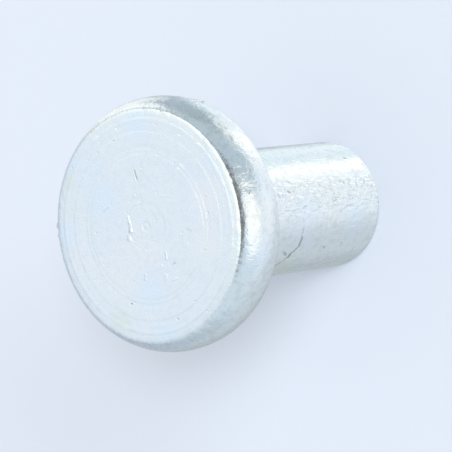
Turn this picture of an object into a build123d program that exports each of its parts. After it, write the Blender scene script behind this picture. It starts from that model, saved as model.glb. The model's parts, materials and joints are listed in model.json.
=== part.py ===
from build123d import *
from math import acos, degrees, sin
import os

# Flat head rivet, in millimetres: a solid steel rivet, upset cold from one round bar.
# It stands on the flat end of its shank. The origin is the middle of that end, +Z runs
# up the shank, and the flat face of the head is on top. Nothing on it moves.

# Shank
shank_diameter = 8.0
shank_length = 15.2  # from the end of the shank to the underside of the head
end_round = 0.6  # rounds the edge of the shank's end
neck_fillet = 0.4  # fills the corner between the shank and the underside of the head

# Head: a thick disc whose rim was left free when the head was upset, so that it bulges
head_diameter = 15.2  # across the widest line of the rim
head_thickness = 3.55
widest_line_depth = 1.95  # from the face down to the widest line of the rim
face_turn = 0.7  # how far the rim stands out past the edge of the face
rim_reach = 1.0  # half the width of the ellipse that the rim follows up to that edge
underside_turn = 0.75  # how far the rim stands out past the edge of the underside

# Face: flat in the middle, very slightly coned outside that, with a fine bevel at its edge
cone_width = 1.3  # from the flat to the edge of the face
cone_drop = 0.06
bevel_width = 0.14
bevel_drop = 0.02

# Marks of the turning tool: shallow grooves round the face, and a pip at the centre.
# Each groove has the radius of its deepest line, the width of its inner wall and of its
# outer wall, and its depth.
tool_marks = [
    (1.38, 0.4, 0.09, 0.014),
    (4.32, 0.09, 0.2, 0.01),
    (4.62, 0.08, 0.3, 0.014),
    (5.6, 0.08, 0.35, 0.012),
    (6.1, 0.3, 0.1, 0.012),
]
pip_radius = 0.25
pip_depth = 0.04

# Worked out from the sizes above
shank_radius = shank_diameter / 2
head_radius = head_diameter / 2
face_height = shank_length + head_thickness
widest_line_height = face_height - widest_line_depth
edge_radius = head_radius - face_turn
flat_radius = edge_radius - cone_width
bevel_radius = edge_radius - bevel_width
bevel_height = face_height - cone_drop
edge_height = bevel_height - bevel_drop


def shank_outline():
    """The rivet's axis, the end of the shank with its rounded edge, its side and its neck."""
    end_centre = (shank_radius - end_round, end_round)
    fillet_centre = (shank_radius + neck_fillet, shank_length - neck_fillet)
    axis_and_end = Polyline((0, face_height), (0, 0), (shank_radius - end_round, 0))
    end_edge = CenterArc(end_centre, end_round, start_angle=-90, arc_size=90)
    side = Line((shank_radius, end_round), (shank_radius, shank_length - neck_fillet))
    neck = CenterArc(fillet_centre, neck_fillet, start_angle=180, arc_size=-90)
    return axis_and_end + end_edge + side + neck


def rim_outline():
    """The bulged rim: two elliptical arcs that meet at the widest line.

    The upper one doesn't run smoothly into the face. It meets it at a crisp edge.
    """
    under_centre = (head_radius - underside_turn, widest_line_height)
    under_height = widest_line_height - shank_length
    under = EllipticalCenterArc(under_centre, underside_turn, under_height, -90, arc_size=90)

    upper_centre = (head_radius - rim_reach, widest_line_height)
    edge_turn = acos((edge_radius - upper_centre[0]) / rim_reach)
    upper_height = (edge_height - widest_line_height) / sin(edge_turn)
    upper = EllipticalCenterArc(upper_centre, rim_reach, upper_height, 0, arc_size=degrees(edge_turn))
    return under + upper


def head_outline():
    """The underside of the head, its rim and its face."""
    rim = rim_outline()
    underside = Line((shank_radius + neck_fillet, shank_length), (head_radius - underside_turn, shank_length))
    face = Polyline(
        (edge_radius, edge_height),
        (bevel_radius, bevel_height),
        (flat_radius, face_height),
        (0, face_height),
    )
    return underside + rim + face


def height_of_face(radius):
    """The height of the face at one radius, on its flat or on its cone."""
    share_of_cone = max(0, radius - flat_radius) / (bevel_radius - flat_radius)
    return face_height - cone_drop * share_of_cone


def tool_mark(radius, inner_wall, outer_wall, depth):
    """The section of a groove, whose walls are as wide as given where they meet the face."""
    groove = Polygon((-2 * inner_wall, depth), (0, -depth), (2 * outer_wall, depth), align=None)
    return Pos(radius, height_of_face(radius)) * groove


def make_rivet():
    """One solid: half of the rivet's section, with its marks cut, turned about +Z."""
    section = make_face(shank_outline() + head_outline())
    for radius, inner_wall, outer_wall, depth in tool_marks:
        section -= tool_mark(radius, inner_wall, outer_wall, depth)
    section -= tool_mark(0, pip_radius, pip_radius, pip_depth)
    return revolve(Plane.XZ * section, Axis.Z)


os.makedirs("parts", exist_ok=True)
rivet = make_rivet()
rivet.label = "rivet"
export_step(rivet, "parts/rivet.step")
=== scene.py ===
import json
from math import acos, atan2, cos, degrees, hypot, pi, radians, sin

import bpy
import numpy as np
from bpy.props import FloatProperty, FloatVectorProperty, IntProperty, PointerProperty
from mathutils import Matrix, Vector


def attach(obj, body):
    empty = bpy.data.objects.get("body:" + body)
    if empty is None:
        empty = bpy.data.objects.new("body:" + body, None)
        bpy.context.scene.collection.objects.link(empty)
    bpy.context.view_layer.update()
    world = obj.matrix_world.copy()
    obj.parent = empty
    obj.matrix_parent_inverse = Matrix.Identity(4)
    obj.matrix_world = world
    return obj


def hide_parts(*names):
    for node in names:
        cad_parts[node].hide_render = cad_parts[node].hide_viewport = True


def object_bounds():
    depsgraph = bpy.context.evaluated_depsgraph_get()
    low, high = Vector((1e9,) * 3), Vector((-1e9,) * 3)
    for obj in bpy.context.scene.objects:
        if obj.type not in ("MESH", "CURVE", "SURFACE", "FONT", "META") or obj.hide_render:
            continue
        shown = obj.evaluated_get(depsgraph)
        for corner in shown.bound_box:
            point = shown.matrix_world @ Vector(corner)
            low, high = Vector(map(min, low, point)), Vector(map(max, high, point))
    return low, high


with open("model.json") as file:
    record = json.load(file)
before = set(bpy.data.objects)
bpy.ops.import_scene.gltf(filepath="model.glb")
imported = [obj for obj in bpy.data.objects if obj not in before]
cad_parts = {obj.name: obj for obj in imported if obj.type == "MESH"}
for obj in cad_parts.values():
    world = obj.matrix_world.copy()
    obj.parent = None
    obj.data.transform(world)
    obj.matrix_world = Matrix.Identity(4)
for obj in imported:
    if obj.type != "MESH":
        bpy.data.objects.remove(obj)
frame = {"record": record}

bl_info = {
    "name": "Flat Head Rivet",
    "version": (1, 0, 0),
    "blender": (4, 5, 0),
    "location": "3D View > Sidebar > Rivet",
    "description": "A zinc plated flat head rivet with turning marks and dents, and a studio to see it in",
    "category": "Add Mesh",
}

# -------- what the frame says

MM = 0.001
CAD_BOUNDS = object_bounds()
NODE = "rivet"
MOUNTS = {mount["name"]: mount for mount in frame["record"]["mounts"]}
FACE_HEIGHT = MOUNTS["head_face"]["pos_m"][2]
UNDERSIDE_HEIGHT = MOUNTS["underside_of_head"]["pos_m"][2]
SHANK_RADIUS = MOUNTS["shank"]["dims"]["r_mm"] * MM
HEAD_RADIUS = (CAD_BOUNDS[1].x - CAD_BOUNDS[0].x) / 2

# The stretches of the rivet's section, each with its own material.
FACE, RIM, SHANK = 0, 1, 2


# -------- settings

def length(name, description, millimetres):
    """A length property, in metres, with its default given in millimetres."""
    default = millimetres * MM
    settings = {"unit": "LENGTH", "subtype": "DISTANCE", "precision": 5}
    return FloatProperty(name=name, description=description, default=default, **settings)


def colour(name, description, default):
    """A linear colour property."""
    settings = {"subtype": "COLOR", "min": 0, "max": 1}
    return FloatVectorProperty(name=name, description=description, default=default, **settings)


def share(name, description, default):
    """A property from 0 to 1."""
    settings = {"subtype": "FACTOR", "min": 0, "max": 1}
    return FloatProperty(name=name, description=description, default=default, **settings)


def plain_number(name, description, default, least):
    """A plain number that isn't below its least value."""
    return FloatProperty(name=name, description=description, default=default, min=least)


class RivetForm(bpy.types.PropertyGroup):
    """The sizes of the rivet's section, how uneven the rivet is, and how fine its mesh is"""

    face_turn: length("Face Turn", "How far the rim stands out past the face's edge", 0.7)
    rim_reach: length("Rim Reach", "Half width of the ellipse that the upper rim follows", 1.0)
    underside_turn: length("Underside Turn", "How far the rim stands out past the underside's edge", 0.75)
    widest_line_depth: length("Widest Line Depth", "From the face down to the widest line of the rim", 1.95)
    cone_width: length("Cone Width", "Width of the slightly coned band at the face's edge", 1.3)
    cone_drop: length("Cone Drop", "How far the face falls across that band", 0.06)
    bevel_width: length("Bevel Width", "Width of the fine bevel at the face's edge", 0.17)
    bevel_drop: length("Bevel Drop", "How far the face falls across that bevel", 0.03)
    neck_fillet: length("Neck Fillet", "Radius between the shank and the underside", 0.4)
    end_round: length("End Round", "Radius of the edge at the end of the shank", 0.6)
    burr: length("Burr", "How ragged the edge of the face is", 0.015)
    wave: length("Wave", "How far the rim and shank swing from their true form", 0.02)
    dent_depth: length("Dent Depth", "Depth of the deepest scattered dents", 0.02)
    dent_density: plain_number("Dent Density", "Dents to a square millimetre", 0.4, least=0)
    pitch: length("Pitch", "Distance between the mesh's rings where detail shows", 0.1)
    segments: IntProperty(name="Segments", description="Faces round the rivet", default=320, min=12)


class RivetStudio(bpy.types.PropertyGroup):
    """The floor, the light and the camera"""

    floor: colour("Floor", "Colour of the floor and of what lies past it", (0.80, 0.865, 0.975))
    metal_surround: colour("Surround", "What the metal reflects where no panel stands", (0.74, 0.82, 0.88))
    ambient: share("Ambient", "Share of the floor's light that comes from all round", 0.655)
    key: share("Key", "Share of the floor's light that comes from the key lamp", 0.2)
    camera_distance: length("Camera Distance", "From the middle of the face to the camera", 152.0)
    camera_lens: plain_number("Lens", "Focal length in millimetres", 206.8, least=1)


# -------- helpers

def add_object(name, data):
    """A new object in the scene."""
    made = bpy.data.objects.new(name, data)
    bpy.context.scene.collection.objects.link(made)
    return made


def add_node(tree, kind, inputs=None, **settings):
    """Adds a node with its settings, and gives each named or numbered input a value or a link."""
    node = tree.nodes.new(kind)
    for name, value in settings.items():
        setattr(node, name, value)
    for key, value in (inputs or {}).items():
        socket = node.inputs[key]
        if isinstance(value, bpy.types.NodeSocket):
            tree.links.new(value, socket)
        else:
            socket.default_value = value
    return node


def calculate(tree, operation, *values, **settings):
    """The output of a Math node."""
    node = add_node(tree, "ShaderNodeMath", dict(enumerate(values)), operation=operation, **settings)
    return node.outputs[0]


def vector_math(tree, operation, *values):
    """The output of a Vector Math node, which for some operations is a number."""
    node = add_node(tree, "ShaderNodeVectorMath", dict(enumerate(values)), operation=operation)
    return node.outputs["Value" if operation in ("DISTANCE", "DOT_PRODUCT", "LENGTH") else "Vector"]


def scaled(tree, vector, factor):
    """A vector times a number."""
    node = add_node(tree, "ShaderNodeVectorMath", {0: vector, "Scale": factor}, operation="SCALE")
    return node.outputs["Vector"]


def flattened(tree, place):
    """A place without its height: the way to it from the rivet's axis."""
    return vector_math(tree, "MULTIPLY", place, (1, 1, 0))


def map_range(tree, value, start, end, at_start=0.0, at_end=1.0, kind="SMOOTHSTEP"):
    """Takes a value from one range to another, without leaving the new range."""
    inputs = {"Value": value, "From Min": start, "From Max": end, "To Min": at_start, "To Max": at_end}
    return add_node(tree, "ShaderNodeMapRange", inputs, interpolation_type=kind).outputs[0]


def falloff(tree, place, middle, full, end, peak=1.0):
    """The peak within one distance of a middle, falling to 0 at another distance."""
    return map_range(tree, vector_math(tree, "DISTANCE", place, middle), full, end, peak, 0.0)


def angle_mask(tree, direction, middle, full, end):
    """1 within one angle of a middle direction, falling to 0 at another angle, in degrees."""
    towards = vector_math(tree, "DOT_PRODUCT", direction, middle)
    return map_range(tree, towards, cos(radians(end)), cos(radians(full)))


def noise(tree, place, scale, detail, w=None):
    """The value of a noise texture, which has four dimensions when a w is given."""
    inputs = {"Vector": place, "Scale": scale, "Detail": detail}
    if w is None:
        return add_node(tree, "ShaderNodeTexNoise", inputs).outputs[0]
    return add_node(tree, "ShaderNodeTexNoise", {"W": w, **inputs}, noise_dimensions="4D").outputs[0]


def lay_colour(tree, under, over, factor, label=""):
    """One colour laid over another."""
    inputs = {"Factor": factor, "A": under, "B": over}
    return add_node(tree, "ShaderNodeMix", inputs, data_type="RGBA", label=label).outputs["Result"]


def new_tree(name, kind, inputs, outputs):
    """A node group with its sockets, as (tree, its inputs by name, its output node)."""
    tree = bpy.data.node_groups.new(name, kind)
    for socket, socket_type, default in inputs:
        made = tree.interface.new_socket(socket, in_out="INPUT", socket_type="NodeSocket" + socket_type)
        if default is not None:
            made.default_value = default
    for socket, socket_type in outputs:
        tree.interface.new_socket(socket, in_out="OUTPUT", socket_type="NodeSocket" + socket_type)
    given = tree.nodes.new("NodeGroupInput").outputs
    return tree, {socket: given[socket] for socket, _, _ in inputs}, tree.nodes.new("NodeGroupOutput")


def geometry_tree(name, inputs):
    """A Geometry Nodes group that takes and gives a geometry, and has other inputs too."""
    inputs = [("Geometry", "Geometry", None), *inputs]
    return new_tree(name, "GeometryNodeTree", inputs, [("Geometry", "Geometry")])


def use_tree(piece, tree, values):
    """Adds a Geometry Nodes modifier and sets its inputs, by their sockets' identifiers."""
    modifier = piece.modifiers.new(tree.name, "NODES")
    modifier.node_group = tree
    identifiers = {item.name: item.identifier for item in tree.interface.items_tree if item.in_out == "INPUT"}
    for name, value in values.items():
        modifier[identifiers[name]] = value


# -------- the rivet's section

# Marks of the turning tool round the face, in millimetres: the radius of a mark's deepest line,
# how wide its inner and outer walls are, and how deep it is. A narrow wall catches the light.
TOOL_MARKS = (
    (0.2, 0.12, 0.14, 0.02),
    (0.72, 0.28, 0.2, 0.006),
    (1.38, 0.4, 0.09, 0.014),
    (2.72, 0.1, 0.1, 0.003),
    (3.6, 0.2, 0.12, 0.004),
    (4.32, 0.1, 0.2, 0.012),
    (4.62, 0.14, 0.3, 0.017),
    (5.6, 0.08, 0.4, 0.011),
    (6.1, 0.25, 0.1, 0.010),
    (6.45, 0.1, 0.12, 0.004),
)

# The coned band of the face steepens outwards: at this share of its width it has fallen by this
# share of its drop.
BEND_PLACE, BEND_DROP = 0.6, 0.25

# Rings of the face are never closer than this.
CLOSEST_RINGS = 0.025 * MM
# How many rings each arc of the section has.
UPPER_RIM_RINGS, LOWER_RIM_RINGS, NECK_RINGS, END_RINGS = 36, 26, 8, 10
# How many pitches apart the rings are along the shank, and on the flats that show no detail.
SHANK_PITCHES, FLAT_PITCHES = 1.3, 4

# How far down and across from the face's edge the rivet is ragged.
BURR_DOWN, BURR_ACROSS = 0.3 * MM, 0.25 * MM
# What share of the wave each stretch of the section has.
WAVE_SHARES = {FACE: 0.15, RIM: 1, SHANK: 0.7}
# Below this height the rivet stays flat on the table.
TABLE_HEIGHT = 0.05 * MM


def stretch(start, end, pitch):
    """Points along a straight line, from its start up to but without its end."""
    start, end = Vector(start), Vector(end)
    count = max(1, round((end - start).length / pitch))
    return [start.lerp(end, i / count) for i in range(count)]


def arc(centre, radii, start, end, count):
    """Points along an elliptical arc, from its start up to but without its end, in degrees."""
    turns = [radians(start + (end - start) * i / count) for i in range(count)]
    return [Vector((centre[0] + radii[0] * cos(t), centre[1] + radii[1] * sin(t))) for t in turns]


def face_corners(form):
    """Where the face changes its slope, from its middle out to its edge."""
    edge_radius = HEAD_RADIUS - form.face_turn
    flat_radius = edge_radius - form.cone_width
    bevel_radius = edge_radius - form.bevel_width
    bend_radius = flat_radius + BEND_PLACE * (bevel_radius - flat_radius)
    bevel_height = FACE_HEIGHT - form.cone_drop
    return (
        (0, FACE_HEIGHT),
        (flat_radius, FACE_HEIGHT),
        (bend_radius, FACE_HEIGHT - BEND_DROP * form.cone_drop),
        (bevel_radius, bevel_height),
        (edge_radius, bevel_height - form.bevel_drop),
    )


def mark_depth(radius):
    """How deep the tool marks are at one radius."""
    depth = 0
    for deepest, inner, outer, full_depth in TOOL_MARKS:
        away = radius / MM - deepest
        depth = max(depth, full_depth * MM * (1 - (-away / inner if away < 0 else away / outer)))
    return depth


def face_points(form):
    """The face with its tool marks, up to but without its edge."""
    corners = face_corners(form)
    edge_radius = corners[-1][0]
    radii = {round(r, 6) for r in np.arange(0, edge_radius - CLOSEST_RINGS, form.pitch)}
    radii |= {round(r, 6) for r, _ in corners[:-1]}
    for deepest, inner, outer, _ in TOOL_MARKS:
        radii |= {round((deepest + step) * MM, 6) for step in (-inner, -inner / 2, 0, outer / 2, outer)}
    radii = sorted(radii)
    radii = [r for r, after in zip(radii, radii[1:] + [edge_radius]) if after - r > CLOSEST_RINGS]
    heights = np.interp(radii, *zip(*corners))
    return [Vector((r, height - mark_depth(r))) for r, height in zip(radii, heights)]


def rim_points(form):
    """The bulged rim: two elliptical arcs that meet at the widest line, and then the underside."""
    edge_radius, edge_height = face_corners(form)[-1]
    widest_height = FACE_HEIGHT - form.widest_line_depth
    upper_centre = HEAD_RADIUS - form.rim_reach
    edge_turn = acos((edge_radius - upper_centre) / form.rim_reach)
    upper_radii = (form.rim_reach, (edge_height - widest_height) / sin(edge_turn))
    upper = arc((upper_centre, widest_height), upper_radii, degrees(edge_turn), 0, UPPER_RIM_RINGS)
    under_centre = HEAD_RADIUS - form.underside_turn
    under_radii = (form.underside_turn, widest_height - UNDERSIDE_HEIGHT)
    under = arc((under_centre, widest_height), under_radii, 0, -90, LOWER_RIM_RINGS)
    neck_edge = (SHANK_RADIUS + form.neck_fillet, UNDERSIDE_HEIGHT)
    underside = stretch((under_centre, UNDERSIDE_HEIGHT), neck_edge, FLAT_PITCHES * form.pitch)
    return upper + under + underside


def shank_points(form):
    """The neck, the side of the shank, the rounded edge of its end and the end itself."""
    fillet, end_round = form.neck_fillet, form.end_round
    neck_height = UNDERSIDE_HEIGHT - fillet
    end_radius = SHANK_RADIUS - end_round
    neck = arc((SHANK_RADIUS + fillet, neck_height), (fillet, fillet), 90, 180, NECK_RINGS)
    side = stretch((SHANK_RADIUS, neck_height), (SHANK_RADIUS, end_round), SHANK_PITCHES * form.pitch)
    end_edge = arc((end_radius, end_round), (end_round, end_round), 0, -90, END_RINGS)
    end = stretch((end_radius, 0), (0, 0), FLAT_PITCHES * form.pitch)
    return neck + side + end_edge + end + [Vector((0, 0))]


def section_points(form):
    """The half section as (radius, height, stretch), from the middle of the face to that of the end."""
    stretches = ((FACE, face_points(form)), (RIM, rim_points(form)), (SHANK, shank_points(form)))
    return [(*point, zone) for zone, points in stretches for point in points]


def near(value, middle, reach):
    """1 at the middle, falling to 0 at its reach."""
    return max(0, 1 - abs(value - middle) / reach)


def section_object(form):
    """A mesh of one loose point for each ring, with attributes for its stretch and its unevenness."""
    points = section_points(form)
    mesh = bpy.data.meshes.new("section")
    mesh.from_pydata([(radius, 0, height) for radius, height, _ in points], [], [])
    edge_radius, edge_height = face_corners(form)[-1]
    burr, wave = [], []
    for radius, height, zone in points:
        along_edge = near(height, edge_height, BURR_DOWN) * near(radius, edge_radius, BURR_ACROSS)
        burr.append(form.burr * along_edge)
        wave.append(form.wave * (WAVE_SHARES[zone] if height >= TABLE_HEIGHT else 0))
    for name, kind, values in (
        ("zone", "INT", [zone for _, _, zone in points]),
        ("burr", "FLOAT", burr),
        ("wave", "FLOAT", wave),
    ):
        mesh.attributes.new(name, kind, "POINT").data.foreach_set("value", values)
    return add_object(NODE, mesh)


# -------- places on the rivet

def outward(bearing):
    """The direction away from the axis at a bearing, which runs from -Y towards +X in degrees."""
    turn = radians(bearing)
    return Vector((sin(turn), -cos(turn), 0))


def on_rim(bearing, radius, height):
    """A place in metres, from its bearing in degrees and its radius and height in millimetres."""
    return outward(bearing) * radius * MM + Vector((0, 0, height * MM))


def on_face(radius, bearing):
    """A place on the face, in metres, from its radius in millimetres and its bearing in degrees."""
    return on_rim(bearing, radius, FACE_HEIGHT / MM)


def on_shank(bearing, height):
    """A place on the shank, in metres, from its bearing in degrees and its height in millimetres."""
    return on_rim(bearing, SHANK_RADIUS / MM, height)


# -------- the rivet's geometry nodes

# Points of the turned mesh closer than this are merged, as at both ends of the axis.
MERGE_DISTANCE = 0.002 * MM
# Scattered dents keep off what is below this.
DENTS_FROM = 0.6 * MM


def named_attribute(tree, name, kind):
    """An attribute of the geometry, by its name."""
    node = add_node(tree, "GeometryNodeInputNamedAttribute", {"Name": name}, data_type=kind)
    return node.outputs["Attribute"]


def compare(tree, a, b, kind, operation):
    """Whether a compares with b as the operation says."""
    node = add_node(tree, "FunctionNodeCompare", {"A": a, "B": b}, data_type=kind, operation=operation)
    return node.outputs[0]


def shift_along_normal(tree, geometry, amount):
    """Moves each point of the geometry along its normal."""
    offset = scaled(tree, tree.nodes.new("GeometryNodeInputNormal").outputs[0], amount)
    return add_node(tree, "GeometryNodeSetPosition", {"Geometry": geometry, "Offset": offset}).outputs[0]


def turning_tree():
    """Turns a section about +Z into a closed mesh, with a material on each of its stretches."""
    materials = ("Face Material", "Rim Material", "Shank Material")
    inputs = [("Segments", "Int", 64)] + [(name, "Material", None) for name in materials]
    tree, given, result = geometry_tree("turn_section", inputs)
    section = given["Geometry"]
    rings = add_node(tree, "GeometryNodeAttributeDomainSize", {0: section}).outputs["Point Count"]
    columns = calculate(tree, "ADD", given["Segments"], 1.0)
    grid = add_node(tree, "GeometryNodeMeshGrid", {"Vertices X": rings, "Vertices Y": columns})
    index = tree.nodes.new("GeometryNodeInputIndex").outputs[0]
    ring = calculate(tree, "FLOOR", calculate(tree, "DIVIDE", calculate(tree, "ADD", index, 0.5), columns))
    column = calculate(tree, "SUBTRACT", index, calculate(tree, "MULTIPLY", ring, columns))
    turn = calculate(tree, "MULTIPLY", calculate(tree, "DIVIDE", column, given["Segments"]), 2 * pi)

    def of_section(value, kind):
        """What the section has at each ring."""
        inputs = {"Geometry": section, "Index": ring, "Value": value}
        return add_node(tree, "GeometryNodeSampleIndex", inputs, data_type=kind).outputs[0]

    place = of_section(tree.nodes.new("GeometryNodeInputPosition").outputs[0], "FLOAT_VECTOR")
    inputs = {"Vector": place, "Angle": turn}
    turned = add_node(tree, "ShaderNodeVectorRotate", inputs, rotation_type="Z_AXIS").outputs[0]
    inputs = {"Geometry": grid.outputs["Mesh"], "Position": turned}
    geometry = add_node(tree, "GeometryNodeSetPosition", inputs).outputs[0]
    for name, kind in (("zone", "INT"), ("burr", "FLOAT"), ("wave", "FLOAT")):
        value = of_section(named_attribute(tree, name, kind), kind)
        inputs = {"Geometry": geometry, "Name": name, "Value": value}
        node = add_node(tree, "GeometryNodeStoreNamedAttribute", inputs, data_type=kind, domain="POINT")
        geometry = node.outputs[0]
    inputs = {"Geometry": geometry, "Distance": MERGE_DISTANCE}
    geometry = add_node(tree, "GeometryNodeMergeByDistance", inputs).outputs[0]
    geometry = add_node(tree, "GeometryNodeSetShadeSmooth", {"Geometry": geometry}).outputs[0]
    geometry = add_node(tree, "GeometryNodeRealizeInstances", {"Geometry": geometry}).outputs[0]
    zone = named_attribute(tree, "zone", "INT")
    for number, name in enumerate(materials):
        here = compare(tree, zone, number, "INT", "EQUAL")
        inputs = {"Geometry": geometry, "Selection": here, "Material": given[name]}
        geometry = add_node(tree, "GeometryNodeSetMaterial", inputs).outputs[0]
    tree.links.new(geometry, result.inputs[0])
    return tree


def unevenness_tree():
    """Makes the turned mesh as uneven as its burr and wave attributes say."""
    inputs = [
        ("Burr Scale", "Float", 7000.0),
        ("Wave Scale", "Float", 700.0),
        ("Draw Stretch", "Float", 0.4),
        ("Seed", "Float", 3.0),
    ]
    tree, given, result = geometry_tree("forged_unevenness", inputs)
    place = tree.nodes.new("GeometryNodeInputPosition").outputs[0]
    squash = add_node(tree, "ShaderNodeCombineXYZ", {"X": 1.0, "Y": 1.0, "Z": given["Draw Stretch"]})
    drawn = vector_math(tree, "MULTIPLY", place, squash.outputs[0])
    total = 0.0
    for name, vector, scale, detail in (
        ("burr", place, "Burr Scale", 1.0),
        ("wave", drawn, "Wave Scale", 3.0),
    ):
        swing = calculate(tree, "SUBTRACT", noise(tree, vector, given[scale], detail, given["Seed"]), 0.5)
        swing = calculate(tree, "MULTIPLY", swing, 2.0)
        total = calculate(tree, "MULTIPLY_ADD", swing, named_attribute(tree, name, "FLOAT"), total)
    tree.links.new(shift_along_normal(tree, given["Geometry"], total), result.inputs[0])
    return tree


def dents_tree():
    """Presses small round dents into a mesh, at places spread over it at random."""
    inputs = [
        ("Density", "Float", 0.4 / MM**2),
        ("Smallest", "Float", 0.12 * MM),
        ("Largest", "Float", 0.5 * MM),
        ("Depth", "Float", 0.02 * MM),
        ("Seed", "Int", 7),
    ]
    tree, given, result = geometry_tree("scattered_dents", inputs)
    seed = given["Seed"]
    place = tree.nodes.new("GeometryNodeInputPosition").outputs[0]
    height = add_node(tree, "ShaderNodeSeparateXYZ", {0: place}).outputs["Z"]
    off_table = compare(tree, height, DENTS_FROM, "FLOAT", "GREATER_THAN")
    inputs = {"Mesh": given["Geometry"], "Selection": off_table, "Density": given["Density"], "Seed": seed}
    dents = add_node(tree, "GeometryNodeDistributePointsOnFaces", inputs).outputs["Points"]
    nearest = add_node(tree, "GeometryNodeSampleNearest", {"Geometry": dents}).outputs[0]
    inputs = {"Min": given["Smallest"], "Max": given["Largest"], "ID": nearest, "Seed": seed}
    reach = add_node(tree, "FunctionNodeRandomValue", inputs, data_type="FLOAT").outputs["Value"]
    away = add_node(tree, "GeometryNodeProximity", {0: dents}, target_element="POINTS").outputs["Distance"]
    share_of_reach = calculate(tree, "DIVIDE", away, reach)
    bowl = map_range(tree, share_of_reach, 0.0, 1.0, 1.0, 0.0, "SMOOTHERSTEP")
    relative_size = calculate(tree, "DIVIDE", reach, given["Largest"])
    depth = calculate(tree, "MULTIPLY", calculate(tree, "MULTIPLY", bowl, given["Depth"]), relative_size)
    inward = calculate(tree, "MULTIPLY", depth, -1.0)
    tree.links.new(shift_along_normal(tree, given["Geometry"], inward), result.inputs[0])
    return tree


# Dents (rise below 0) and small burrs (above 0) at known places, in degrees and millimetres: bearing,
# radius, height, reach and rise.
PLACED_MARKS = (
    (174, 7.12, 18.45, 0.22, 0.10),
    (179, 7.12, 18.45, 0.16, 0.04),
    (69, 7.49, 15.98, 0.36, 0.08),
    (65, 7.46, 15.88, 0.26, 0.14),
    (11, 7.42, 18.1, 0.45, -0.03),
    (21, 7.36, 18.2, 0.35, -0.025),
    (-4, 6.92, 18.65, 0.30, -0.03),
    (15, 4.0, 9.6, 0.30, -0.03),
    (-43, 4.0, 9.0, 0.35, -0.02),
    (36, 4.0, 0.9, 0.40, -0.04),
)


def placed_marks_tree():
    """Presses dents into a mesh, and raises burrs on it, at known places."""
    tree, given, result = geometry_tree("placed_marks", [("Strength", "Float", 1.0)])
    place = tree.nodes.new("GeometryNodeInputPosition").outputs[0]
    total = 0.0
    for bearing, radius, height, reach, rise in PLACED_MARKS:
        mark = falloff(tree, place, on_rim(bearing, radius, height), 0.0, reach * MM, rise * MM)
        total = calculate(tree, "ADD", mark, total)
    shift = calculate(tree, "MULTIPLY", total, given["Strength"])
    tree.links.new(shift_along_normal(tree, given["Geometry"], shift), result.inputs[0])
    return tree


# -------- node groups of the finish

# Colours that the plate's clear passivated film gives the zinc, a grey that is painted in for mottled
# reflections, and the colour of dirt and painted shade, linear.
PLAIN_ZINC = (0.78, 0.85, 0.885)
BLUE_ZINC = (0.745, 0.845, 0.925)
ROSE_ZINC = (0.82, 0.86, 0.885)
OLIVE_ZINC = (0.75, 0.825, 0.80)
PAINTED_MOTTLE_GREY = (0.56, 0.61, 0.63)
DIRT_AND_SHADE = (0.09, 0.092, 0.10)


def tint_group():
    """Plate colour: plain zinc that drifts in soft patches to other colours, with a finer grey mottle that is
    painted reflection.
    """
    inputs = [
        ("Vector", "Vector", None),
        ("Plain", "Color", (*PLAIN_ZINC, 1)),
        ("Blue", "Color", (*BLUE_ZINC, 1)),
        ("Rose", "Color", (*ROSE_ZINC, 1)),
        ("Olive", "Color", (*OLIVE_ZINC, 1)),
        ("Grey", "Color", (*PAINTED_MOTTLE_GREY, 1)),
        ("Scale", "Float", 250.0),
        ("Amount", "Float", 0.6),
        ("Mottle Scale", "Float", 2600.0),
        ("Mottle", "Float", 0.3),
    ]
    tree, given, result = new_tree("plate_tint_and_painted_mottle", "ShaderNodeTree", inputs, [("Color", "Color")])
    # For each layer: its colour, the noise above which it starts to show, its own slice of the noise,
    # and the inputs that give its scale and its strength.
    layers = (
        ("Blue", 0.5, 4.0, "Scale", "Amount"),
        ("Rose", 0.52, 11.0, "Scale", "Amount"),
        ("Olive", 0.56, 18.0, "Scale", "Amount"),
        # The grey layer is painted reflection: the mottle that an uneven plate shows in what it reflects.
        ("Grey", 0.47, 25.0, "Mottle Scale", "Mottle"),
    )
    softness = 0.16
    tinted = given["Plain"]
    for name, start, w, scale, amount in layers:
        patch = map_range(tree, noise(tree, given["Vector"], given[scale], 3.0, w), start, start + softness)
        tinted = lay_colour(tree, tinted, given[name], calculate(tree, "MULTIPLY", patch, given[amount]))
    tree.links.new(tinted, result.inputs["Color"])
    return tree


def spot_group():
    """A soft round patch of one colour, laid over the colour so far."""
    inputs = [
        ("Color", "Color", None),
        ("Vector", "Vector", None),
        ("Place", "Vector", None),
        ("Reach", "Float", 1.0 * MM),
        ("Tint", "Color", None),
    ]
    tree, given, result = new_tree("tint_spot", "ShaderNodeTree", inputs, [("Color", "Color")])
    mask = falloff(tree, given["Vector"], given["Place"], 0.0, given["Reach"])
    tree.links.new(lay_colour(tree, given["Color"], given["Tint"], mask), result.inputs["Color"])
    return tree


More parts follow.
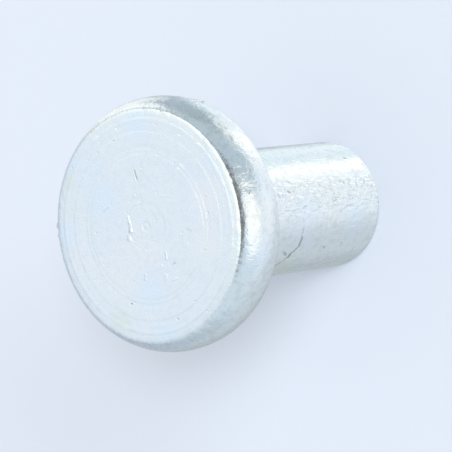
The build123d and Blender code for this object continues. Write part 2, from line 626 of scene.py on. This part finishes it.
def grain_group():
    """The plate's own grain: a soft orange peel, fine crystals, and pits where some cells have one."""
    inputs = [
        ("Vector", "Vector", None),
        ("Peel", "Float", 0.003),
        ("Crystals", "Float", 0.001),
        ("Pits", "Float", 0.01),
        ("Pit Share", "Float", 0.3),
    ]
    outputs = [("Height", "Float"), ("Crystals", "Float")]
    tree, given, result = new_tree("plate_grain", "ShaderNodeTree", inputs, outputs)
    place = given["Vector"]
    peel = noise(tree, place, scale=2200.0, detail=2.0)
    crystals = noise(tree, place, scale=9000.0, detail=2.0)
    cells = add_node(tree, "ShaderNodeTexVoronoi", {"Vector": place, "Scale": 3200.0}).outputs
    chance = add_node(tree, "ShaderNodeSeparateColor", {0: cells["Color"]}).outputs[0]
    has_pit = calculate(tree, "LESS_THAN", chance, given["Pit Share"])
    bowl = map_range(tree, cells["Distance"], start=0.08, end=0.32, at_start=1.0, at_end=0.0)
    depth = calculate(tree, "MULTIPLY", calculate(tree, "MULTIPLY", bowl, has_pit), given["Pits"])
    height = calculate(tree, "MULTIPLY", peel, given["Peel"])
    height = calculate(tree, "MULTIPLY_ADD", crystals, given["Crystals"], height)
    tree.links.new(calculate(tree, "SUBTRACT", height, depth), result.inputs["Height"])
    tree.links.new(crystals, result.inputs["Crystals"])
    return tree


def nick_group():
    """A short scratch or nick between two places, laid over the height and the dirt so far."""
    inputs = [
        ("Vector", "Vector", None),
        ("Height", "Float", 0.0),
        ("Dirt", "Float", 0.0),
        ("Start", "Vector", None),
        ("End", "Vector", None),
        ("Width", "Float", 0.1 * MM),
        ("Rise", "Float", -0.01),
        ("Darkness", "Float", 0.0),
    ]
    outputs = [("Height", "Float"), ("Dirt", "Float")]
    tree, given, result = new_tree("nick", "ShaderNodeTree", inputs, outputs)
    run = vector_math(tree, "SUBTRACT", given["End"], given["Start"])
    away = vector_math(tree, "SUBTRACT", given["Vector"], given["Start"])
    along = vector_math(tree, "DOT_PRODUCT", away, run)
    squared = vector_math(tree, "DOT_PRODUCT", run, run)
    nearest = scaled(tree, run, calculate(tree, "DIVIDE", along, squared, use_clamp=True))
    mask = falloff(tree, away, nearest, 0.0, given["Width"])
    height = calculate(tree, "MULTIPLY_ADD", mask, given["Rise"], given["Height"])
    dark = calculate(tree, "MULTIPLY", mask, given["Darkness"])
    tree.links.new(height, result.inputs["Height"])
    tree.links.new(calculate(tree, "MAXIMUM", dark, given["Dirt"]), result.inputs["Dirt"])
    return tree


def make_groups():
    """The node groups that the three finishes share, by name."""
    return {"tint": tint_group(), "spot": spot_group(), "grain": grain_group(), "nick": nick_group()}


def use_group(tree, group, inputs):
    """The outputs of a node group placed in a material, with its values and links."""
    return add_node(tree, "ShaderNodeGroup", inputs, node_tree=group).outputs


# -------- what the finish shows

# Soft patches of colour: the middle as on_face, on_rim or on_shank takes it, the reach in
# millimetres, and the colour.
FACE_TINTS = (
    ((3.6, 148), 2.4, BLUE_ZINC),
    ((3.8, -95), 1.9, BLUE_ZINC),
    ((6.4, -85), 1.5, BLUE_ZINC),
    ((6.3, 178), 1.4, BLUE_ZINC),
    ((6.2, 88), 1.8, BLUE_ZINC),
    ((4.7, 14), 1.9, ROSE_ZINC),
    ((4.5, -18), 1.7, ROSE_ZINC),
    ((6.1, -119), 1.2, OLIVE_ZINC),
    ((6.6, 150), 1.2, OLIVE_ZINC),
)
RIM_TINTS = (
    ((-20, 7.5, 17.5), 1.8, BLUE_ZINC),
    ((120, 7.3, 18.3), 1.6, OLIVE_ZINC),
)
SHANK_TINTS = (
    ((-60, 9.0), 2.5, OLIVE_ZINC),
    ((-10, 8.0), 2.0, BLUE_ZINC),
    ((-15, 3.0), 2.2, BLUE_ZINC),
)

# Marks on the face: (radius, bearing) of their two ends, in millimetres and degrees, then their
# width and rise in millimetres, and how dark they are, from 0 to 1.
FACE_NICKS = (
    ((3.34, 96), (2.80, 95), 0.09, -0.02, 0.4),
    ((3.35, 160), (3.05, 153), 0.08, -0.008, 0.1),
    ((4.80, -113), (4.76, -112), 0.09, -0.02, 0.5),
    ((5.80, -75), (5.76, -75), 0.08, -0.02, 0.4),
    ((5.52, 108), (5.50, 107), 0.07, -0.01, 0.3),
    ((6.07, 74), (6.04, 73), 0.07, -0.01, 0.25),
    ((4.53, -23), (4.50, -23), 0.07, -0.01, 0.3),
    ((2.90, -56), (2.94, -52), 0.09, -0.01, 0.25),
    ((3.35, -10), (3.00, -8), 0.12, -0.006, 0.12),
    ((2.05, -53), (2.35, -59), 0.12, 0.016, 0.0),
    ((2.85, -100), (3.12, -101), 0.11, 0.014, 0.0),
    ((3.18, -70), (3.34, -73), 0.12, 0.016, 0.0),
    ((1.90, 110), (2.00, 107), 0.12, 0.015, 0.0),
    ((2.50, 40), (2.15, 50), 0.10, 0.010, 0.0),
    ((1.46, 152), (1.30, 164), 0.14, 0.018, 0.0),
    ((1.28, 166), (1.22, -173), 0.22, 0.026, 0.0),
    ((1.23, -170), (1.52, -157), 0.24, 0.03, 0.0),
    ((1.42, -148), (1.42, -100), 0.11, 0.009, 0.0),
    ((2.45, -72), (2.62, -70), 0.10, 0.012, 0.0),
    ((3.70, -60), (3.60, -66), 0.10, 0.012, 0.0),
    ((0.75, -58), (0.72, -48), 0.10, 0.012, 0.0),
)

# Marks on the shank: (bearing, height) of their two ends, then as above.
SHANK_NICKS = (
    ((-10, 8.58), (-14, 8.42), 0.10, -0.008, 0.15),
    ((-19, 8.40), (-25, 8.48), 0.12, -0.014, 0.28),
    ((-28, 8.38), (-36, 8.42), 0.18, -0.03, 0.55),
    ((-37, 8.46), (-43, 8.86), 0.14, -0.025, 0.42),
    ((-44, 8.90), (-47, 8.93), 0.19, -0.03, 0.5),
    ((-48, 9.02), (-57, 9.75), 0.14, -0.02, 0.3),
    ((-39.5, 9.9), (-42, 9.6), 0.10, -0.012, 0.28),
    ((-42, 9.6), (-44, 9.38), 0.16, -0.025, 0.45),
    ((-41, 5.58), (-41, 5.52), 0.15, -0.02, 0.5),
    ((15, 9.60), (14, 9.54), 0.13, -0.03, 0.45),
    ((12, 9.30), (7, 8.95), 0.14, 0.03, 0.0),
    ((11, 10.73), (11, 10.66), 0.11, -0.02, 0.3),
    ((44, 2.09), (43, 1.98), 0.13, -0.03, 0.35),
    ((19, 4.05), (18, 3.85), 0.11, -0.02, 0.2),
    ((-39, 3.82), (-39, 3.78), 0.10, -0.02, 0.3),
    ((8, 10.8), (-5, 11.0), 0.08, 0.012, 0.0),
)

# Marks on the rim: (bearing, radius, height) of their two ends, then as above.
RIM_NICKS = (
    ((12, 7.45, 18.05), (9, 7.47, 17.95), 0.14, 0.03, 0.0),
    ((22, 7.34, 18.26), (21, 7.34, 18.2), 0.12, -0.02, 0.4),
    ((10, 7.42, 18.1), (9, 7.42, 18.05), 0.10, -0.02, 0.35),
    ((69, 7.49, 15.98), (66.5, 7.47, 15.9), 0.18, -0.02, 0.5),
)


def lay_nicks(tree, groups, place, height, nicks, locate):
    """Lays a list of nicks over a height, and returns the new height and where they are dirty."""
    dirt_and_shade = 0.0
    for start, end, width, rise, darkness in nicks:
        ends = {"Start": locate(*start), "End": locate(*end), "Width": width * MM}
        marks = {"Height": height, "Dirt": dirt_and_shade, "Rise": rise, "Darkness": darkness}
        nick = use_group(tree, groups["nick"], {"Vector": place, **ends, **marks})
        height, dirt_and_shade = nick["Height"], nick["Dirt"]
    return height, dirt_and_shade


def lay_tints(tree, groups, place, tints, locate, mottle):
    """The plate's colour, with a list of soft patches laid over it."""
    tinted = use_group(tree, groups["tint"], {"Vector": place, "Mottle": mottle})["Color"]
    for middle, reach, tint in tints:
        spot = {"Place": locate(*middle), "Reach": reach * MM, "Tint": (*tint, 1)}
        tinted = use_group(tree, groups["spot"], {"Color": tinted, "Vector": place, **spot})["Color"]
    return tinted


def ragged_place(tree, place, amount):
    """The place, shaken a little by noise, so that what is drawn there has ragged edges."""
    shake = add_node(tree, "ShaderNodeTexNoise", {"Vector": place, "Scale": 6000.0, "Detail": 2.0})
    centred = vector_math(tree, "SUBTRACT", shake.outputs["Color"], (0.5, 0.5, 0.5))
    return vector_math(tree, "ADD", place, scaled(tree, centred, 2 * amount))


def turning_lines(tree, place, height, amount, faintest=0.25, drift=0.04):
    """Adds the turning tool's fine feed lines to a height.

    They run round the face, drift a little as they go, and fade in patches to their faintest share.
    """
    flat = flattened(tree, place)
    radius = vector_math(tree, "LENGTH", flat)
    lines = noise(tree, scaled(tree, flat, drift), scale=5200.0, detail=3.0, w=radius)
    patches = noise(tree, flat, scale=450.0, detail=2.0)
    strength = map_range(tree, patches, 0.35, 0.65, faintest * amount, amount, "LINEAR")
    return calculate(tree, "MULTIPLY_ADD", lines, strength, height)


def bearing_mask(tree, place, bearing, full, end):
    """1 at places within one angle of a bearing, falling to 0 at another angle, in degrees."""
    direction = vector_math(tree, "NORMALIZE", flattened(tree, place))
    return angle_mask(tree, direction, outward(bearing), full, end)


def scuff(tree, place, height, mask, amount, scale, detail):
    """Adds scuffs to a height, where a mask has them."""
    scuffs = calculate(tree, "SUBTRACT", noise(tree, place, scale, detail), 0.5)
    return calculate(tree, "MULTIPLY_ADD", scuffs, calculate(tree, "MULTIPLY", mask, amount), height)


def painted_edge_shade(tree, place, dirt_and_shade, form, bearing, half_angle, width, amount):
    """Adds a thin speckled line of painted shade to the rim, just outside the face's edge and about one
    bearing.
    """
    edge_radius, edge_height = face_corners(form)[-1]
    radius = vector_math(tree, "LENGTH", flattened(tree, place))
    height = add_node(tree, "ShaderNodeSeparateXYZ", {0: place}).outputs["Z"]
    in_section = add_node(tree, "ShaderNodeCombineXYZ", {"X": radius, "Z": height}).outputs[0]
    mask = falloff(tree, in_section, (edge_radius, 0, edge_height), 0.45 * width, width)
    inner, outer = edge_radius + 0.005 * MM, edge_radius + 0.03 * MM
    outside = map_range(tree, radius, inner, outer, kind="LINEAR")
    reach = bearing_mask(tree, place, bearing, half_angle / 2, half_angle)
    speckle = map_range(tree, noise(tree, place, scale=7000.0, detail=2.0), 0.36, 0.58)
    for factor in (outside, reach, speckle, amount):
        mask = calculate(tree, "MULTIPLY", mask, factor)
    return calculate(tree, "MAXIMUM", mask, dirt_and_shade)


# -------- materials

# How far the roughness swings about its middle, between low and high crystals.
ROUGHNESS_SWING = 0.06
LOW_CRYSTALS, HIGH_CRYSTALS = 0.3, 0.7


def start_material(name):
    """A new material with its tree, and the place in the rivet's own frame."""
    material = bpy.data.materials.new(name)
    material.use_nodes = True
    return material, material.node_tree, material.node_tree.nodes.new("ShaderNodeTexCoord").outputs["Object"]


def finish_material(material, tinted, dirt_and_shade, height, grain, roughness):
    """Joins the tint, the dirt and painted shade, the roughness and the bump to a material's shader."""
    tree = material.node_tree
    shader = tree.nodes["Principled BSDF"]
    # The dark colour is laid where there is dirt or painted shade.
    tree.links.new(lay_colour(tree, tinted, (*DIRT_AND_SHADE, 1), dirt_and_shade), shader.inputs["Base Color"])
    least, most = roughness - ROUGHNESS_SWING, roughness + ROUGHNESS_SWING
    rough = map_range(tree, grain["Crystals"], LOW_CRYSTALS, HIGH_CRYSTALS, least, most, "LINEAR")
    tree.links.new(rough, shader.inputs["Roughness"])
    shader.inputs["Metallic"].default_value = 1
    bump = add_node(tree, "ShaderNodeBump", {"Height": height, "Distance": MM, "Strength": 1.0})
    tree.links.new(bump.outputs["Normal"], shader.inputs["Normal"])
    return material


def turned_face_material(groups):
    """The face: turned, then plated, with many small nicks about its middle."""
    material, tree, place = start_material("turned_face")
    inputs = {"Vector": place, "Peel": 0.013, "Crystals": 0.0025, "Pits": 0.01, "Pit Share": 0.1}
    grain = use_group(tree, groups["grain"], inputs)
    height = turning_lines(tree, place, grain["Height"], amount=0.011)
    ragged = ragged_place(tree, place, 0.04 * MM)
    height, dirt_and_shade = lay_nicks(tree, groups, ragged, height, FACE_NICKS, on_face)
    tinted = lay_tints(tree, groups, place, FACE_TINTS, on_face, mottle=0.1)
    return finish_material(material, tinted, dirt_and_shade, height, grain, roughness=0.26)


def formed_rim_material(groups, form):
    """The rim: bulged freely, with a scuffed patch below the edge of the face, and painted shade just outside
    that edge.
    """
    material, tree, place = start_material("formed_rim")
    inputs = {"Vector": place, "Peel": 0.035, "Crystals": 0.012, "Pits": 0.012, "Pit Share": 0.1}
    grain = use_group(tree, groups["grain"], inputs)
    middle = on_rim(bearing=17, radius=7.35, height=18.1)
    patch = falloff(tree, place, middle, full=0.52 * MM, end=1.3 * MM)
    height = scuff(tree, place, grain["Height"], patch, amount=0.06, scale=3600.0, detail=3.0)
    ragged = ragged_place(tree, place, 0.05 * MM)
    height, dirt_and_shade = lay_nicks(tree, groups, ragged, height, RIM_NICKS, on_rim)
    # Two speckled lines of painted shade just outside the face's edge, where the rim's reflection turns dark.
    dirt_and_shade = painted_edge_shade(tree, place, dirt_and_shade, form, bearing=3, half_angle=40, width=0.25 * MM, amount=0.25)
    dirt_and_shade = painted_edge_shade(tree, place, dirt_and_shade, form, bearing=55, half_angle=60, width=0.12 * MM, amount=0.18)
    tinted = lay_tints(tree, groups, place, RIM_TINTS, on_rim, mottle=0.32)
    return finish_material(material, tinted, dirt_and_shade, height, grain, roughness=0.22)


def drawn_shank_material(groups):
    """The shank: drawn bar, scuffed along one side and with a band of painted shade along another."""
    material, tree, place = start_material("drawn_shank")
    drawn = vector_math(tree, "MULTIPLY", place, (1, 1, 0.45))
    inputs = {"Vector": drawn, "Peel": 0.035, "Crystals": 0.004, "Pits": 0.015, "Pit Share": 0.12}
    grain = use_group(tree, groups["grain"], inputs)
    band = bearing_mask(tree, place, bearing=8, full=19 / 3, end=19)
    height = scuff(tree, drawn, grain["Height"], band, amount=0.15, scale=4000.0, detail=1.5)
    ragged = ragged_place(tree, place, 0.08 * MM)
    height, dirt_and_shade = lay_nicks(tree, groups, ragged, height, SHANK_NICKS, on_shank)
    # A band of painted shade on the side at bearing 90, where the shank's edge shows a dark reflection.
    painted_side_shade = bearing_mask(tree, place, bearing=90, full=17, end=26)
    dirt_and_shade = calculate(tree, "MAXIMUM", calculate(tree, "MULTIPLY", painted_side_shade, 0.17), dirt_and_shade)
    tinted = lay_tints(tree, groups, place, SHANK_TINTS, on_shank, mottle=0.3)
    return finish_material(material, tinted, dirt_and_shade, height, grain, roughness=0.24)


class RIVET_OT_add_rivet(bpy.types.Operator):
    """Turns the rivet from its section, and gives it its dents and its plate"""

    bl_idname = "rivet.add_rivet"
    bl_label = "Add Rivet"
    bl_options = {"REGISTER", "UNDO"}

    def execute(self, context):
        form = context.scene.rivet_form
        groups = make_groups()
        piece = section_object(form)
        turning = {
            "Segments": form.segments,
            "Face Material": turned_face_material(groups),
            "Rim Material": formed_rim_material(groups, form),
            "Shank Material": drawn_shank_material(groups),
        }
        use_tree(piece, turning_tree(), turning)
        use_tree(piece, unevenness_tree(), {})
        use_tree(piece, dents_tree(), {"Density": form.dent_density / MM**2, "Depth": form.dent_depth})
        use_tree(piece, placed_marks_tree(), {})
        view = context.evaluated_depsgraph_get()
        mesh = bpy.data.meshes.new_from_object(piece.evaluated_get(view), depsgraph=view)
        piece.modifiers.clear()
        piece.data = mesh
        piece.name = "rivet_turned"
        mesh.name = piece.name
        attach(piece, "root")
        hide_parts(NODE)
        return {"FINISHED"}


# -------- the studio

# How far the camera stands above the floor and is turned about its line of sight, in degrees.
VIEW_ELEVATION = 52.1
VIEW_ROLL = -97.26
# From the middle of the picture to the middle of the face, across and up.
FACE_OFFSET = (-4.68 * MM, -0.03 * MM)


def camera_axes():
    """The camera's right, up and back directions, as the columns of a matrix."""
    elevation, roll = radians(VIEW_ELEVATION), radians(VIEW_ROLL)
    back = Vector((0, -cos(elevation), sin(elevation)))
    level = Vector((1, 0, 0))
    upright = back.cross(level)
    right = cos(roll) * level + sin(roll) * upright
    up = back.cross(right)
    return Matrix((right, up, back)).transposed()


def add_camera(studio):
    """The camera, far off with a long lens, rolled so that the rivet seems to lie on its side."""
    axes = camera_axes()
    data = bpy.data.cameras.new("camera")
    data.lens = studio.camera_lens
    data.clip_start, data.clip_end = 0.01, 20
    camera = add_object("camera", data)
    face = Vector((0, 0, FACE_HEIGHT))
    place = face - axes @ Vector((*FACE_OFFSET, -studio.camera_distance))
    camera.matrix_world = Matrix.Translation(place) @ axes.to_4x4()
    bpy.context.scene.camera = camera


# What the metal reflects: soft panels, given by the direction of their middle from the camera's own
# place (degrees to the right, degrees up), by how far from there they are full and where they end,
# and by their light. Each is laid over the ones before.
PANELS = (
    ("floor_shade", (-30, -125), (20, 60), (0.54, 0.60, 0.66)),
    ("left_wall", (-135, 25), (40, 65), (0.80, 0.87, 0.95)),
    ("left_side", (-124, -2), (24, 36), (0.70, 0.755, 0.83)),
    ("floor_left", (-85, -100), (15, 35), (0.53, 0.57, 0.66)),
    ("floor_front", (-85, -48), (8, 26), (0.70, 0.75, 0.82)),
    ("ceiling", (15, 80), (45, 70), (0.58, 0.65, 0.69)),
    ("ceiling_dark", (5, 105), (10, 26), (0.46, 0.52, 0.56)),
    ("left_window", (-76, 92), (13, 21), (1.2, 1.18, 1.15)),
    ("back_window_left", (80, 88), (7, 16), (1.55, 1.48, 1.4)),
    ("back_window_right", (105, 72), (17, 27), (1.55, 1.46, 1.36)),
    ("ceiling_back", (5, 150), (12, 24), (0.50, 0.56, 0.62)),
    ("ceiling_left", (-26, 130), (8, 20), (0.50, 0.57, 0.65)),
    ("left_window_middle", (-76, 118), (9, 14), (1.2, 1.18, 1.12)),
    ("left_window_edge", (-57, 84), (6, 13), (1.2, 1.18, 1.15)),
    ("left_window_top", (-78, 124), (10, 17), (1.1, 1.1, 1.05)),
    ("back_strip", (52, 130), (6, 13), (0.99, 1.09, 1.12)),
    ("back_window_edge", (54, 105), (5, 10), (0.95, 1.0, 1.0)),
    ("back_strip_front", (60, 120), (6, 13), (0.93, 1.01, 1.04)),
    ("rim_glint", (50, 98), (3, 8), (1.06, 1.08, 1.08)),
    ("rim_glint_side", (62, 84), (4, 11), (1.12, 1.11, 1.08)),
    ("back_strip_right", (75, 135), (5, 14), (1.04, 1.12, 1.13)),
    ("right_wall", (118, -8), (20, 52), (0.97, 0.985, 1.02)),
    ("right_strip", (102, 24), (6, 16), (1.06, 1.08, 1.1)),
    ("right_low", (98, -88), (15, 44), (0.67, 0.71, 0.75)),
    ("floor_right", (65, -145), (8, 30), (0.50, 0.54, 0.57)),
    ("right_lamp", (55, 0), (20, 32), (1.3, 1.24, 1.18)),
    ("camera", (-4, -5), (15, 28), (0.28, 0.27, 0.27)),
    ("camera_top", (0, 20), (12, 25), (0.28, 0.27, 0.27)),
    ("front_wall", (-81, -12), (6, 22), (0.95, 0.975, 1.045)),
    ("front_wall_left", (-106, -18), (8, 16), (0.60, 0.68, 0.77)),
    ("front_edge", (-45, 2), (15, 21), (1.5, 1.45, 1.3)),
    ("front_edge_top", (-57, 26), (11, 17), (1.5, 1.45, 1.32)),
    ("front_top", (-80, 28), (8, 18), (1.2, 1.2, 1.15)),
)


def panel_direction(right, up):
    """The direction, in the rivet's frame, of what is so many degrees from the camera's own place."""
    angle = radians(hypot(right, up))
    bearing = atan2(up, right)
    return camera_axes() @ Vector((sin(angle) * cos(bearing), sin(angle) * sin(bearing), cos(angle)))


def add_world(studio):
    """A plain pale world, which for the metal's reflections alone has soft panels in it."""
    world = bpy.data.worlds.new("studio")
    bpy.context.scene.world = world
    world.use_nodes = True
    world.cycles.sampling_method = "NONE"
    tree = world.node_tree
    tree.nodes.clear()
    direction = tree.nodes.new("ShaderNodeTexCoord").outputs["Generated"]
    rays = tree.nodes.new("ShaderNodeLightPath").outputs

    def background(light, strength=1.0):
        """The shader of a world of one light."""
        return add_node(tree, "ShaderNodeBackground", {"Color": light, "Strength": strength}).outputs[0]

    def only_for(kind_of_ray, shader, other):
        """A shader for one kind of ray, and another for the rest."""
        return add_node(tree, "ShaderNodeMixShader", {0: rays[kind_of_ray], 1: other, 2: shader}).outputs[0]

    reflected = (*studio.metal_surround, 1)
    for name, (right, up), (full, end), light in PANELS:
        mask = angle_mask(tree, direction, panel_direction(right, up), full, end)
        reflected = lay_colour(tree, reflected, (*light, 1), mask, label=name)
    plain = background((1, 1, 1, 1), studio.ambient)
    shader = only_for("Is Camera Ray", background((*studio.floor, 1)), plain)
    shader = only_for("Is Glossy Ray", background(reflected), shader)
    add_node(tree, "ShaderNodeOutputWorld", {"Surface": shader})


def add_floor(studio, reach=2.0):
    """A wide matt floor, which keeps the rivet's shadow and stays out of the metal's reflections."""
    mesh = bpy.data.meshes.new("floor")
    corners = [(-reach, -reach, 0), (reach, -reach, 0), (reach, reach, 0), (-reach, reach, 0)]
    mesh.from_pydata(corners, [], [(0, 1, 2, 3)])
    floor = add_object("floor", mesh)
    material = bpy.data.materials.new("floor")
    material.use_nodes = True
    shader = material.node_tree.nodes["Principled BSDF"]
    shader.inputs["Base Color"].default_value = (*studio.floor, 1)
    shader.inputs["Roughness"].default_value = 1
    shader.inputs["Specular IOR Level"].default_value = 0
    mesh.materials.append(material)
    floor.visible_glossy = False


def add_lamp(name, right, up, angle, share_of_light):
    """A far lamp that lights the floor and casts the rivet's shadow there. The metal doesn't show it."""
    direction = panel_direction(right, up)
    data = bpy.data.lights.new(name, "SUN")
    data.angle = radians(angle)
    data.energy = share_of_light * pi / direction.z
    lamp = add_object(name, data)
    lamp.rotation_mode = "QUATERNION"
    lamp.rotation_quaternion = direction.to_track_quat("Z", "Y")
    lamp.visible_glossy = False


class RIVET_OT_add_studio(bpy.types.Operator):
    """Sets up the floor, the lamps, the world and the camera"""

    bl_idname = "rivet.add_studio"
    bl_label = "Add Studio"
    bl_options = {"REGISTER", "UNDO"}

    def execute(self, context):
        studio = context.scene.rivet_studio
        context.scene.view_settings.view_transform = "Standard"
        add_world(studio)
        add_floor(studio)
        add_lamp("key", right=-2, up=6, angle=16, share_of_light=studio.key)
        add_lamp("top", right=26, up=31, angle=42, share_of_light=1 - studio.ambient - studio.key)
        add_camera(studio)
        return {"FINISHED"}


class RIVET_PT_sidebar(bpy.types.Panel):
    """Lists the rivet's settings and the buttons that make it"""

    bl_label = "Flat Head Rivet"
    bl_idname = "RIVET_PT_sidebar"
    bl_space_type = "VIEW_3D"
    bl_region_type = "UI"
    bl_category = "Rivet"

    def draw(self, context):
        for operator, settings in (("rivet.add_rivet", "rivet_form"), ("rivet.add_studio", "rivet_studio")):
            group = getattr(context.scene, settings)
            column = self.layout.column(align=True)
            for name in group.__annotations__:
                column.prop(group, name)
            self.layout.operator(operator)


CLASSES = (RivetForm, RivetStudio, RIVET_OT_add_rivet, RIVET_OT_add_studio, RIVET_PT_sidebar)


def register():
    for cls in CLASSES:
        bpy.utils.register_class(cls)
    bpy.types.Scene.rivet_form = PointerProperty(type=RivetForm)
    bpy.types.Scene.rivet_studio = PointerProperty(type=RivetStudio)


def unregister():
    del bpy.types.Scene.rivet_studio
    del bpy.types.Scene.rivet_form
    for cls in reversed(CLASSES):
        bpy.utils.unregister_class(cls)


def main():
    register()
    bpy.ops.rivet.add_rivet()
    bpy.ops.rivet.add_studio()


if __name__ == "__main__":
    main()
